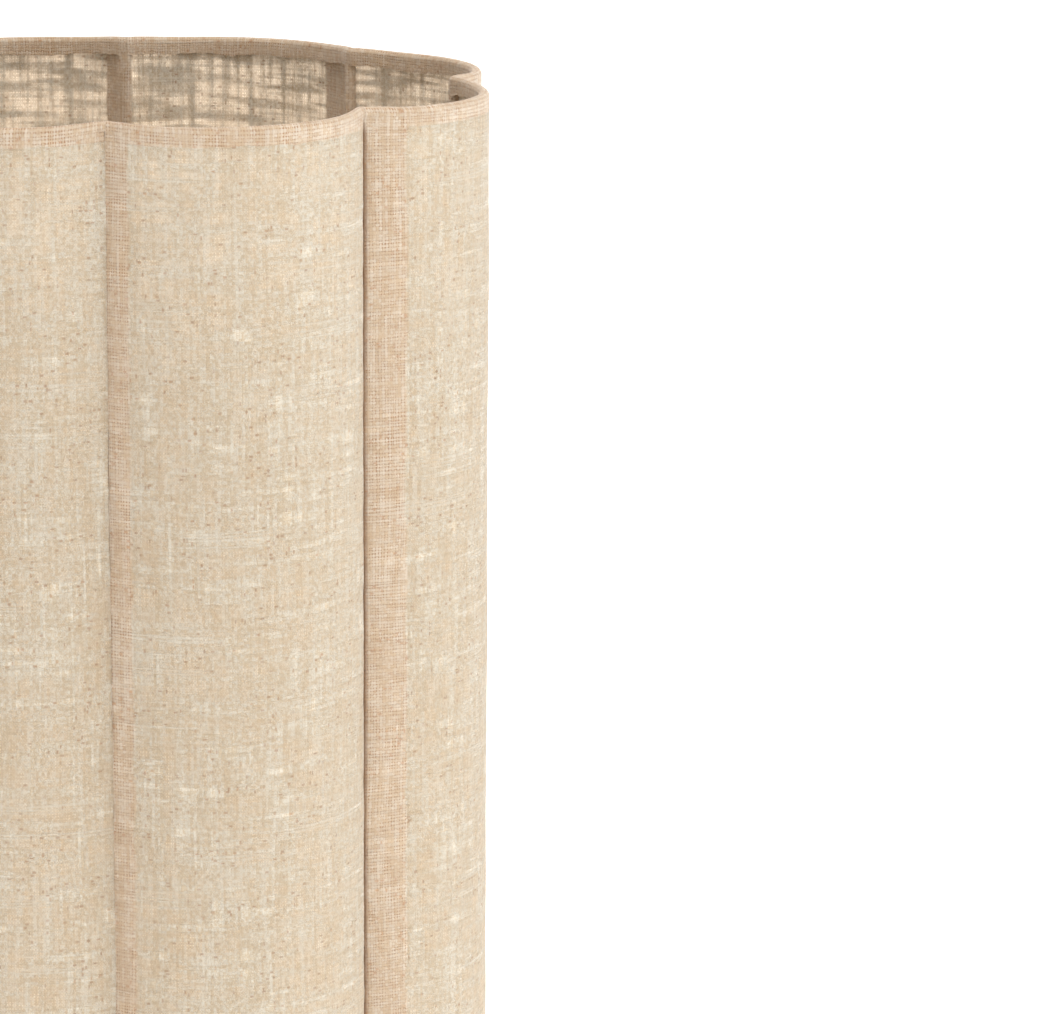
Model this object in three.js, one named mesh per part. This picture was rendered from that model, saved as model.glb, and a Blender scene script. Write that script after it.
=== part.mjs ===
// A tall lamp shade with a scalloped plan: eight linen panels, each one lobe of the scallop, sewn
// together along the inward-pointing cusps and turned in over a wire ring at the top and the bottom.
// Upright struts stand in the seams, and four arms carry the fitter ring just above the bottom rim.
// Millimetres, +Z up, origin at the centre of the bottom rim, one cusp facing -Y.
import * as THREE from "three";
import { ParametricGeometry } from "three/addons/geometries/ParametricGeometry.js";

// ---- Driving dimensions -------------------------------------------------------------------------
const LOBES = 8;
const SHADE_HEIGHT = 350;
const CUSP_RADIUS = 110; // from the shade's axis to the centre of the wire at a cusp
const LOBE_DEPTH = 23; // how far a lobe bulges past the straight line between its two cusps
const WIRE_RADIUS = 1; // the two rim rings and the struts
const CLOTH = 0.5; // thickness of one layer of linen
const HEM_DEPTH = 5; // how far the turned-in edge reaches down the inside
const HEM_LIP = 3; // how far the rolled edge covers the outside
const ALLOWANCE_WIDTH = 15; // the two layers of cloth pressed to one side behind each seam
const FITTER_COUNT = 4; // arms
const FITTER_RISE = 25; // underside of the fitter ring above the bottom rim
const FITTER_HOLE_RADIUS = 21;
const FITTER_BORDER = 9; // width of the flat fitter ring
const FITTER_THICKNESS = 2;
const ARM_RADIUS = 1.25;
const REDUCER_HOLE_RADIUS = 14.5;
const REDUCER_FLANGE = 4; // how far the reducer's flange overlaps the fitter ring
const REDUCER_THICKNESS = 1.6;
const REDUCER_RUNNING_GAP = 0.4; // between the reducer's spigot and the fitter's hole
const GAP = 0.3; // between neighbouring pieces

const ARC_STEPS = 12; // facets along one lobe
const WIRE_SIDES = 8;
const ROUND_SIDES = 48;

const UP = new THREE.Vector3(0, 0, 1);

// ---- The scalloped plan -------------------------------------------------------------------------
// Each lobe is a circular arc. An outline at a given offset is the same arc with a longer or shorter
// radius, ended where it crosses the radial plane through the cusp.
const HALF_PITCH = Math.PI / LOBES;
const HALF_CHORD = CUSP_RADIUS * Math.sin(HALF_PITCH);
const LOBE_RADIUS = (HALF_CHORD ** 2 + LOBE_DEPTH ** 2) / (2 * LOBE_DEPTH);
const LOBE_CENTRE = CUSP_RADIUS * Math.cos(HALF_PITCH) + LOBE_DEPTH - LOBE_RADIUS;

// Half the angle of a lobe's arc at an offset, stopping a given distance short of the cusp's plane.
function lobeHalfAngle(offset, shortOf = 0) {
  const reach = LOBE_CENTRE * Math.sin(HALF_PITCH) - shortOf;
  return HALF_PITCH + Math.asin(reach / (LOBE_RADIUS + offset));
}

// The turn about +Z that carries a lobe drawn along +X to its place; lobe 0 follows the front cusp.
const lobeTurn = (index) => (2 * index + 1) * HALF_PITCH - Math.PI / 2;
const cuspTurn = (index) => 2 * index * HALF_PITCH - Math.PI / 2;

function scallopPoint(turn, offset, target) {
  const index = Math.min(Math.floor(turn * LOBES), LOBES - 1);
  const share = turn * LOBES - index;
  const angle = (2 * share - 1) * lobeHalfAngle(offset);
  const radius = LOBE_RADIUS + offset;
  target.set(LOBE_CENTRE + radius * Math.cos(angle), radius * Math.sin(angle), 0);
  return target.applyAxisAngle(UP, lobeTurn(index));
}

// ---- Materials ----------------------------------------------------------------------------------
const linen = new THREE.MeshStandardMaterial({ color: 0xd9cab3, roughness: 0.95, metalness: 0 });
const whiteMetal = new THREE.MeshStandardMaterial({ color: 0xe6e4de, roughness: 0.45, metalness: 0.1 });
const whitePlastic = new THREE.MeshStandardMaterial({ color: 0xefede6, roughness: 0.4, metalness: 0 });

// ---- Helpers ------------------------------------------------------------------------------------
const shade = new THREE.Group();

function addPiece(name, geometry, material) {
  const mesh = new THREE.Mesh(geometry, material);
  mesh.name = name;
  shade.add(mesh);
  return mesh;
}

// A closed band that runs all the way round the scallop. Its profile is a closed outline of
// [offset from the wire's centre line, height], listed anticlockwise with outward to the right.
function bandRoundRim(profile) {
  const around = (turn, along, target) => {
    const [offset, height] = profile[Math.round(along * profile.length) % profile.length];
    scallopPoint(turn === 1 ? 0 : turn, offset, target);
    target.z = height;
  };
  return new ParametricGeometry(around, LOBES * ARC_STEPS, profile.length);
}

// An upright strip of cloth that follows part of one lobe, between two offsets and two heights.
// firstAngle and lastAngle give the arc's ends for an offset.
function lobeStrip(inner, outer, firstAngle, lastAngle, bottom, top) {
  const outline = new THREE.Shape();
  outline.absarc(LOBE_CENTRE, 0, LOBE_RADIUS + outer, firstAngle(outer), lastAngle(outer), false);
  outline.absarc(LOBE_CENTRE, 0, LOBE_RADIUS + inner, lastAngle(inner), firstAngle(inner), true);
  const strip = new THREE.ExtrudeGeometry(outline, {
    depth: top - bottom,
    curveSegments: ARC_STEPS,
    bevelEnabled: false,
  });
  return strip.translate(0, 0, bottom);
}

function roundWire(path, radius) {
  const section = new THREE.Shape().absarc(0, 0, radius, 0, 2 * Math.PI, false);
  return new THREE.ExtrudeGeometry(section, {
    extrudePath: path,
    steps: 1,
    curveSegments: WIRE_SIDES,
    bevelEnabled: false,
  });
}

// ---- Cloth --------------------------------------------------------------------------------------
const PANEL_INNER = WIRE_RADIUS + GAP;
const PANEL_OUTER = PANEL_INNER + CLOTH;
const RIM_INNER = -PANEL_INNER;
const RIM_INNER_FACE = -PANEL_OUTER;
const panelBottom = HEM_LIP + GAP;
const panelTop = SHADE_HEIGHT - HEM_LIP - GAP;
const ringHeight = CLOTH + GAP + WIRE_RADIUS; // centre of the bottom ring above the bottom rim

for (let i = 0; i < LOBES; i += 1) {
  const first = (offset) => -lobeHalfAngle(offset, GAP / 2);
  const last = (offset) => lobeHalfAngle(offset, GAP / 2);
  const panel = lobeStrip(PANEL_INNER, PANEL_OUTER, first, last, panelBottom, panelTop);
  addPiece(`panel_${i + 1}`, panel, linen).rotation.z = lobeTurn(i);
}

// Behind each seam both panels' spare edges lie flat against the panel that follows it.
const allowanceOuter = PANEL_INNER - GAP;
const allowanceInner = allowanceOuter - 2 * CLOTH;
const allowanceEnd = ringHeight + WIRE_RADIUS + GAP;
const STRUT_ROOM = WIRE_RADIUS + 2 * GAP;

for (let i = 0; i < LOBES; i += 1) {
  const start = -lobeHalfAngle(0) + STRUT_ROOM / LOBE_RADIUS;
  const end = start + ALLOWANCE_WIDTH / LOBE_RADIUS;
  const strip = lobeStrip(
    allowanceInner,
    allowanceOuter,
    () => start,
    () => end,
    allowanceEnd,
    SHADE_HEIGHT - allowanceEnd,
  );
  addPiece(`seam_allowance_${i + 1}`, strip, linen).rotation.z = lobeTurn(i);
}

// The rolled edge: over the ring from the outside, and down the inside as a hem.
const bottomHem = [
  [PANEL_OUTER, 0],
  [PANEL_OUTER, HEM_LIP],
  [PANEL_INNER, HEM_LIP],
  [PANEL_INNER, CLOTH],
  [RIM_INNER, CLOTH],
  [RIM_INNER, HEM_DEPTH],
  [RIM_INNER_FACE, HEM_DEPTH],
  [RIM_INNER_FACE, 0],
];
const topHem = bottomHem.map(([offset, height]) => [offset, SHADE_HEIGHT - height]).reverse();
addPiece("bottom_hem", bandRoundRim(bottomHem), linen);
addPiece("top_hem", bandRoundRim(topHem), linen);

// ---- Wire frame ---------------------------------------------------------------------------------
function ringProfile(centreHeight) {
  return Array.from({ length: WIRE_SIDES }, (_, side) => {
    const angle = (2 * Math.PI * (side + 0.5)) / WIRE_SIDES;
    return [WIRE_RADIUS * Math.cos(angle), centreHeight + WIRE_RADIUS * Math.sin(angle)];
  });
}
addPiece("bottom_ring", bandRoundRim(ringProfile(ringHeight)), whiteMetal);
addPiece("top_ring", bandRoundRim(ringProfile(SHADE_HEIGHT - ringHeight)), whiteMetal);

const strutLength = SHADE_HEIGHT - 2 * allowanceEnd;
for (let i = 0; i < LOBES; i += 1) {
  const strut = new THREE.CylinderGeometry(WIRE_RADIUS, WIRE_RADIUS, strutLength, WIRE_SIDES);
  strut.rotateX(Math.PI / 2);
  const mesh = addPiece(`strut_${i + 1}`, strut, whiteMetal);
  mesh.position.set(CUSP_RADIUS, 0, SHADE_HEIGHT / 2);
  mesh.position.applyAxisAngle(UP, cuspTurn(i));
}

// ---- Fitter -------------------------------------------------------------------------------------
function flatRing(outerRadius, holeRadius, bottom, top) {
  const outline = new THREE.Shape().absarc(0, 0, outerRadius, 0, 2 * Math.PI, false);
  outline.holes.push(new THREE.Path().absarc(0, 0, holeRadius, 0, 2 * Math.PI, true));
  const ring = new THREE.ExtrudeGeometry(outline, {
    depth: top - bottom,
    curveSegments: ROUND_SIDES,
    bevelEnabled: false,
  });
  return ring.translate(0, 0, bottom);
}

const fitterRadius = FITTER_HOLE_RADIUS + FITTER_BORDER;
const fitterTop = FITTER_RISE + FITTER_THICKNESS;
addPiece("fitter_ring", flatRing(fitterRadius, FITTER_HOLE_RADIUS, FITTER_RISE, fitterTop), whiteMetal);

// Each arm runs from a strut, just above the hem, straight up to the edge of the fitter ring.
const armFoot = new THREE.Vector3(CUSP_RADIUS - STRUT_ROOM - GAP, 0, HEM_DEPTH + GAP + 1.5 * ARM_RADIUS);
const armHead = new THREE.Vector3(fitterRadius + 2 * GAP, 0, FITTER_RISE + FITTER_THICKNESS / 2);
for (let i = 0; i < FITTER_COUNT; i += 1) {
  const arm = roundWire(new THREE.LineCurve3(armFoot, armHead), ARM_RADIUS);
  addPiece(`fitter_arm_${i + 1}`, arm, whiteMetal).rotation.z = cuspTurn((i * LOBES) / FITTER_COUNT);
}

// The reducer: a flanged ring that drops into the fitter's hole and lifts out again.
const spigotRadius = FITTER_HOLE_RADIUS - REDUCER_RUNNING_GAP;
const flangeRadius = FITTER_HOLE_RADIUS + REDUCER_FLANGE;
const flangeBottom = fitterTop + GAP;
const flangeTop = flangeBottom + REDUCER_THICKNESS;
const reducerProfile = [
  new THREE.Vector2(REDUCER_HOLE_RADIUS, FITTER_RISE),
  new THREE.Vector2(spigotRadius, FITTER_RISE),
  new THREE.Vector2(spigotRadius, flangeBottom),
  new THREE.Vector2(flangeRadius, flangeBottom),
  new THREE.Vector2(flangeRadius, flangeTop),
  new THREE.Vector2(REDUCER_HOLE_RADIUS, flangeTop),
  new THREE.Vector2(REDUCER_HOLE_RADIUS, FITTER_RISE),
];
const reducer = new THREE.LatheGeometry(reducerProfile, ROUND_SIDES).rotateX(Math.PI / 2);
addPiece("reducer_ring", reducer, whitePlastic);

export default shade;
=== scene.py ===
"""A tall scalloped lamp shade in natural linen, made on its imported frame.

Eight linen panels bulge outwards between eight sewn cusps. Each panel is one sheet carried up the
shade; the hems roll over the two wire rings, and behind each seam a two-layer allowance wraps the
strut and lies flat on the next panel. Sizes are in metres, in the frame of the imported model.
"""

import math

import bpy
import numpy as np
from bpy.props import FloatProperty, FloatVectorProperty, PointerProperty
from mathutils import Matrix, Vector


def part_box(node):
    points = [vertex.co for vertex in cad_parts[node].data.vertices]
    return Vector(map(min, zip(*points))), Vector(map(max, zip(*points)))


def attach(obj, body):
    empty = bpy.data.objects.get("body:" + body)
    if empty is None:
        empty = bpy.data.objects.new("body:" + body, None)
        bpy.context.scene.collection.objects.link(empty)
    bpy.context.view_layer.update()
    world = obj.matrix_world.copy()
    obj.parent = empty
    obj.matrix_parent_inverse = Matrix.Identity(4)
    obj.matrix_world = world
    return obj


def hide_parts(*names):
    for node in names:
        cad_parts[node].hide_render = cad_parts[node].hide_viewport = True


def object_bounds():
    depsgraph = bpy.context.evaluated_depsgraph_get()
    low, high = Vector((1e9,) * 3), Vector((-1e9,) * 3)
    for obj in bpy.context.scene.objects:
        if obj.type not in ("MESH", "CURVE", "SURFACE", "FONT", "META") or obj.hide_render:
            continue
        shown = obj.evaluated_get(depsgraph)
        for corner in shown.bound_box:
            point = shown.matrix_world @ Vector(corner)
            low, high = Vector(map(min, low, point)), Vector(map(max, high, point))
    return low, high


bl_info = {
    "name": "Scalloped linen lamp shade",
    "version": (1, 0, 0),
    "blender": (4, 5, 0),
    "location": "3D View > Sidebar > Lamp shade",
    "description": "Builds the cloth, wire frame and fitter of a scalloped lamp shade on its frame",
    "category": "Add Mesh",
}

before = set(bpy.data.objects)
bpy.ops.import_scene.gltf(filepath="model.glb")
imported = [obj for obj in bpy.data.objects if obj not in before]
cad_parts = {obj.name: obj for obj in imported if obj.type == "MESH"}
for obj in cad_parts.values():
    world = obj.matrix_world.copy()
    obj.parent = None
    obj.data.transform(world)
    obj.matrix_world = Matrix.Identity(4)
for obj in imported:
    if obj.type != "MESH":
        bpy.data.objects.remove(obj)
CAD_LOW, CAD_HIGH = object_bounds()

LOBES = 8
HALF_PITCH = math.pi / LOBES
BODY = "shade"
MM = 0.001
WHITE = (1.0, 1.0, 1.0)


# ---- Sizes taken from the frame ----


def middle(node):
    """The centre of a node's box, as an array."""
    low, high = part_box(node)
    return (np.array(low) + np.array(high)) / 2


def span(node):
    """The sides of a node's box, as an array."""
    low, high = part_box(node)
    return np.array(high) - np.array(low)


def lobe_depth_of_frame(cusp_radius, wire_radius):
    """How far a lobe bulges past its chord, from how wide the ring is.

    The ring's widest point lies at reach = centre * cos(half pitch) + lobe radius + wire radius. With
    the lobe radius written as (chord^2 + depth^2) / (2 depth), that is a quadratic in the depth.
    """
    reach = span("top_ring")[0] / 2 - wire_radius
    chord = cusp_radius * math.sin(HALF_PITCH)
    cosine = math.cos(HALF_PITCH)
    a = 1 + cosine
    b = reach - cusp_radius * cosine**2
    c = chord**2 * (1 - cosine)
    return (b + math.sqrt(b * b - a * c)) / a


WIRE_RADIUS = span("strut_1")[0] / 2
CUSP_RADIUS = float(np.hypot(*middle("strut_1")[:2]))
LOBE_DEPTH = lobe_depth_of_frame(CUSP_RADIUS, WIRE_RADIUS)
HEIGHT = CAD_HIGH[2] - CAD_LOW[2]
RING_HEIGHT = float(middle("bottom_ring")[2])


# ---- What a user may change ----


def length(name, text, default):
    """A size in metres for the panel in the sidebar."""
    return FloatProperty(
        name=name, description=text, default=default, min=0.0, precision=5, unit="LENGTH"
    )


def share(name, text, default):
    """A number from 0 to 1 for the panel in the sidebar."""
    return FloatProperty(name=name, description=text, default=default, min=0.0, max=1.0, subtype="FACTOR")


def strength(name, text, default):
    """The power or strength of a light for the panel in the sidebar."""
    return FloatProperty(name=name, description=text, default=default, min=0.0)


def tint(name, text, default):
    """A linear colour for the panel in the sidebar."""
    return FloatVectorProperty(
        name=name, description=text, default=default, size=3, min=0.0, max=1.0, subtype="COLOR"
    )


class ShadeSizes(bpy.types.PropertyGroup):
    """Sizes of the cloth, beside those the frame settles."""

    cloth: length("Cloth", "Thickness of one layer of linen", 0.45 * MM)
    two_plies: length("Two plies", "Thickness of the two layers of a seam allowance", 0.75 * MM)
    cloth_offset: length("Cloth offset", "From the wire's centre to the middle of the cloth", 1.55 * MM)
    lip: length("Hem lip", "How far the rolled hem reaches down the outside", 3.0 * MM)
    turn_in: length("Hem turn-in", "How far the rolled hem reaches down the inside", 6.0 * MM)
    seam_fold: length("Seam fold", "Radius at which a panel turns in to the loosest seam", 1.5 * MM)
    seam_gap: length("Seam gap", "Half the space between two panels at the loosest seam", 0.34 * MM)
    allowance: length("Seam allowance", "Usual width of an allowance pressed to one side", 15.0 * MM)
    cusp_rise: length("Cusp rise", "How far the rim lifts where a seam goes over the ring", 0.9 * MM)


class LinenLook(bpy.types.PropertyGroup):
    """The look of the woven linen."""

    warp_pitch: length("Warp pitch", "From one upright thread to the next", 0.91 * MM)
    weft_pitch: length("Weft pitch", "From one level thread to the next", 1.07 * MM)
    thread: tint("Thread", "Usual colour of the flax thread", (0.76, 0.625, 0.450))
    pale_thread: tint("Pale thread", "Colour of the palest threads and slubs", (0.90, 0.830, 0.700))
    # Painted shade: the colour that holes, folds, the spaces between threads and doubled cloth are carried
    # towards, standing in for shade.
    painted_shade: tint("Deep thread", "Colour deep between the threads", (0.39, 0.215, 0.118))
    fleck_length: length("Fleck length", "Longest fleck of bark in a thread", 1.7 * MM)
    fleck: tint("Fleck", "Colour of the bark flecks spun into the flax", (0.52, 0.275, 0.145))
    lit_thread: tint("Lit thread", "Colour of the light one layer lets on", (0.90, 0.810, 0.705))
    lit_hole: tint("Lit hole", "Colour of the light that comes through between threads", (0.97, 0.92, 0.84))
    see_through: share("See-through", "How much light one layer of cloth lets on", 0.58)


class StageLook(bpy.types.PropertyGroup):
    """The studio round the shade."""

    room: strength("Room light", "Strength of the white surround", 0.60)
    key: strength("Key light", "Power of the large soft light on the right", 8.6)
    front: strength("Front light", "Power of the light by the camera", 4.2)
    above: strength("Upper light", "Power of the light overhead", 33.0)
    rear: strength("Rear light", "Power of the light behind", 34.0)
    glow: strength("Floor glow", "How far the floor is lit up to white", 0.75)


# ---- The scalloped plan ----


class Scallop:
    """The plan of the rim wire: arcs of one radius whose centres stand on a circle."""

    def __init__(self):
        chord = CUSP_RADIUS * math.sin(HALF_PITCH)
        self.radius = (chord**2 + LOBE_DEPTH**2) / (2 * LOBE_DEPTH)
        self.centre = CUSP_RADIUS * math.cos(HALF_PITCH) + LOBE_DEPTH - self.radius
        self.cusp_angle = self.half_angle(self.radius)

    def half_angle(self, radius, short_of=0.0):
        """Half the angle of an arc of this radius that stops short of the cusp's radial plane."""
        return HALF_PITCH + np.arcsin((self.centre * math.sin(HALF_PITCH) - short_of) / radius)

    def ring(self, azimuth, offset, soften):
        """Radius from the axis, and angle about the lobe's centre, at an azimuth counted from a cusp.

        The distance e from the nearest cusp is replaced by sqrt(e^2 + soften^2), which rounds the cusp.
        """
        from_lobe = np.mod(azimuth, 2 * HALF_PITCH) - HALF_PITCH
        near = HALF_PITCH - np.abs(from_lobe)
        eased = HALF_PITCH - np.sqrt(near**2 + soften**2)
        arc = self.radius + offset
        radius = self.centre * np.cos(eased) + np.sqrt(arc**2 - (self.centre * np.sin(eased)) ** 2)
        angle = np.sign(from_lobe) * (eased + np.arcsin(self.centre / arc * np.sin(eased)))
        return radius, angle


PLAN = Scallop()

# The seams are sewn by hand, so each has a width, a lean and a looseness of its own; seam 0 is in front.
ALLOWANCE_SHARES = (0.56, 1.0, 0.87, 1.45, 0.55, 0.9, 0.95, 0.85)  # width against the usual allowance
SEAM_LEANS = (-0.38, -0.80, 0.2, 0.8, 0.3, -0.2, 0.3, -0.4)  # how far it stands off its cusp, in mm
LOOSENESS = (-0.30, 1.4, 0.5, 0.6, 0.3, 0.7, 0.55, 0.4)  # 1 is an open groove, below 0 is pressed shut
LOBE_STRIDE = 0.12  # from the start of one lobe's stretch of cloth to the next, along the U axis
FREE_FOLD = 0.03 * MM  # radius of a fold where the seam is shut


def lobe_turn(index):
    """The angle about +Z of the middle of a lobe; lobe 0 follows the front cusp."""
    return (2 * index + 1) * HALF_PITCH - math.pi / 2


def turned(x, y, z, angle):
    """Points given in a lobe's own frame, carried round the axis."""
    cosine, sine = math.cos(angle), math.sin(angle)
    return np.stack([x * cosine - y * sine, x * sine + y * cosine, np.broadcast_to(z, x.shape)], axis=-1)


def waves(at, seed, count, shortest, longest):
    """A smooth wander between about -1 and 1: the mean of sines with seeded lengths and phases."""
    random = np.random.default_rng(seed)
    total = 0
    for wave, phase in zip(random.uniform(shortest, longest, count), random.uniform(0, 2 * math.pi, count)):
        total = total + np.sin(2 * math.pi * at / wave + phase)
    return total / math.sqrt(count)


# ---- Meshes ----


def shell_corners(rows, columns, closed):
    """Corners of the quads of a thin closed shell, each as (side, row, column).

    Side 0 is a grid in front and side 1 the same grid behind it; strips along the edges join them.
    Where the shell closes on itself the column runs on to one past the last.
    """
    wide = columns + 1 if closed else columns
    front, back = np.stack(np.meshgrid([0, 1], np.arange(rows), np.arange(wide), indexing="ij"), axis=-1)
    quads = [
        (front[:-1, :-1], front[:-1, 1:], front[1:, 1:], front[1:, :-1]),
        (back[:-1, :-1], back[1:, :-1], back[1:, 1:], back[:-1, 1:]),
        (front[0, :-1], back[0, :-1], back[0, 1:], front[0, 1:]),
        (front[-1, :-1], front[-1, 1:], back[-1, 1:], back[-1, :-1]),
    ]
    if not closed:
        quads.append((front[:-1, 0], front[1:, 0], back[1:, 0], back[:-1, 0]))
        quads.append((front[:-1, -1], back[:-1, -1], back[1:, -1], front[1:, -1]))
    return np.concatenate([np.stack(corners, axis=-2).reshape(-1, 4, 3) for corners in quads])


def smooth_object(name, mesh, smooth_angle):
    """An object at the origin that shows a mesh, smooth but for its sharp edges."""
    mesh.polygons.foreach_set("use_smooth", np.ones(len(mesh.polygons), bool))
    mesh.set_sharp_from_angle(angle=math.radians(smooth_angle))
    made = bpy.data.objects.new(name, mesh)
    bpy.context.scene.collection.objects.link(made)
    return made


def new_mesh(name, points, faces, smooth_angle=50):
    """A mesh object from arrays of points and quads."""
    mesh = bpy.data.meshes.new(name)
    mesh.vertices.add(len(points))
    mesh.vertices.foreach_set("co", np.ascontiguousarray(points, np.float32).ravel())
    mesh.loops.add(faces.size)
    mesh.loops.foreach_set("vertex_index", np.ascontiguousarray(faces, np.int32).ravel())
    mesh.polygons.add(len(faces))
    mesh.polygons.foreach_set("loop_start", np.arange(0, faces.size, 4, dtype=np.int32))
    mesh.update(calc_edges=True)
    mesh.validate()
    return smooth_object(name, mesh, smooth_angle)


def cloth_shell(name, front, back, uv, closed=False, marks=None):
    """A thin closed sheet between two grids of points, with its own UV map in metres.

    uv has one more column than the grids where the sheet closes on itself. marks holds numbers for the
    points by name, such as crease, which is 1 where the cloth is folded in hard.
    """
    rows, columns = front.shape[:2]
    points = np.concatenate([front.reshape(-1, 3), back.reshape(-1, 3)])
    side, row, column = np.moveaxis(shell_corners(rows, columns, closed), -1, 0)
    made = new_mesh(name, points, (side * rows + row) * columns + column % columns)
    layer = made.data.uv_layers.new(name="weave")
    layer.data.foreach_set("uv", np.ascontiguousarray(uv[row, column], np.float32).ravel())
    for mark, values in (marks or {}).items():
        values = np.broadcast_to(values, (rows, columns)).ravel()
        field = made.data.attributes.new(mark, "FLOAT", "POINT")
        field.data.foreach_set("value", np.concatenate([values, values]).astype(np.float32))
    return made


def sheet_between(points, normals, thickness):
    """The two faces of a sheet: its middle moved half its thickness each way along its normals."""
    return points + normals * thickness / 2, points - normals * thickness / 2


def swept_normals(points):
    """Normals of a grid that is a profile along axis 1 carried along axis 0."""
    along = np.gradient(points, axis=1)
    up = np.gradient(points, axis=0)
    normals = np.cross(along, up)
    return normals / np.linalg.norm(normals, axis=-1, keepdims=True)


# ---- Node helpers ----


class Field:
    """A number worked out at each point of a surface. Arithmetic on it adds Math nodes."""

    def __init__(self, tree, socket):
        self.tree = tree
        self.socket = socket

    def math(self, operation, *others):
        node = self.tree.nodes.new("ShaderNodeMath")
        node.operation = operation
        for place, value in zip(node.inputs, (self, *others)):
            join(self.tree, value, place)
        return Field(self.tree, node.outputs[0])

    def __add__(self, other):
        return self.math("ADD", other)

    def __sub__(self, other):
        return self.math("SUBTRACT", other)

    def __mul__(self, other):
        return self.math("MULTIPLY", other)

    def __truediv__(self, other):
        return self.math("DIVIDE", other)

    def floor(self):
        return self.math("FLOOR")

    def part(self):
        return self.math("FRACT")

    def size(self):
        return self.math("ABSOLUTE")

    def sine(self):
        return self.math("SINE")

    def larger(self, other):
        return self.math("MAXIMUM", other)

    def flipped(self):
        return self * -1.0 + 1.0

    def eased(self, low, high, out_low=0.0, out_high=1.0):
        """Carries low..high to out_low..out_high with a smooth step, held outside."""
        node = self.tree.nodes.new("ShaderNodeMapRange")
        node.interpolation_type = "SMOOTHSTEP"
        for place, value in zip(node.inputs, (self, low, high, out_low, out_high)):
            join(self.tree, value, place)
        return Field(self.tree, node.outputs[0])


def join(tree, value, place):
    """Gives a socket a number, a colour, or what a Field or another socket holds."""
    if isinstance(value, Field):
        tree.links.new(value.socket, place)
    elif isinstance(value, bpy.types.NodeSocket):
        tree.links.new(value, place)
    else:
        place.default_value = value


def add_node(tree, kind, taken, **settings):
    """A new node with its settings, and what each of its inputs takes."""
    node = tree.nodes.new("ShaderNode" + kind)
    for name, value in settings.items():
        setattr(node, name, value)
    for place, value in taken.items():
        join(tree, value, node.inputs[place])
    return node


def noise(x, y, detail=0.0):
    """Smooth noise over two Fields, about 0.5 in the middle."""
    place = add_node(x.tree, "CombineXYZ", {0: x, 1: y}).outputs[0]
    taken = {"Vector": place, "Scale": 1.0, "Detail": detail}
    return Field(x.tree, add_node(x.tree, "TexNoise", taken, noise_dimensions="2D").outputs[0])


def chance(x, seed, y=0.0):
    """An even random number from 0 to 1 for each whole value of one or two Fields."""
    place = add_node(x.tree, "CombineXYZ", {0: x + seed, 1: y}).outputs[0]
    node = add_node(x.tree, "TexWhiteNoise", {"Vector": place}, noise_dimensions="2D")
    return Field(x.tree, node.outputs["Value"])


def blend_colour(tree, amount, first, second, mode="MIX"):
    """The first colour carried towards the second by a Field or a number."""
    node = tree.nodes.new("ShaderNodeMix")
    node.data_type = "RGBA"
    node.blend_type = mode
    node.clamp_factor = True
    for name, value in (("Factor_Float", amount), ("A_Color", first), ("B_Color", second)):
        place = next(s for s in node.inputs if s.identifier == name)
        if isinstance(value, tuple):
            value = (*value, 1.0)
        join(tree, value, place)
    return next(s for s in node.outputs if s.identifier == "Result_Color")


def mark(tree, name):
    """A mark of the points, as a Field; 0 on a piece without it."""
    return Field(tree, add_node(tree, "Attribute", {}, attribute_name=name).outputs["Fac"])


def new_material(name):
    """An empty node material, its tree and its output."""
    made = bpy.data.materials.new(name)
    made.use_nodes = True
    tree = made.node_tree
    tree.nodes.clear()
    return made, tree, tree.nodes.new("ShaderNodeOutputMaterial")


def bumped(tree, height, strength, distance):
    """The surface's direction, roughened by a Field of heights."""
    taken = {"Height": height, "Strength": strength, "Distance": distance}
    return add_node(tree, "Bump", taken).outputs[0]


def mixed_surface(tree, output, amount, first, second):
    """Ends a material with the first surface, or by the amount with the second."""
    mix = add_node(tree, "MixShader", {0: amount, 1: first.outputs[0], 2: second.outputs[0]})
    join(tree, mix.outputs[0], output.inputs["Surface"])


# ---- Materials ----


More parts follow.
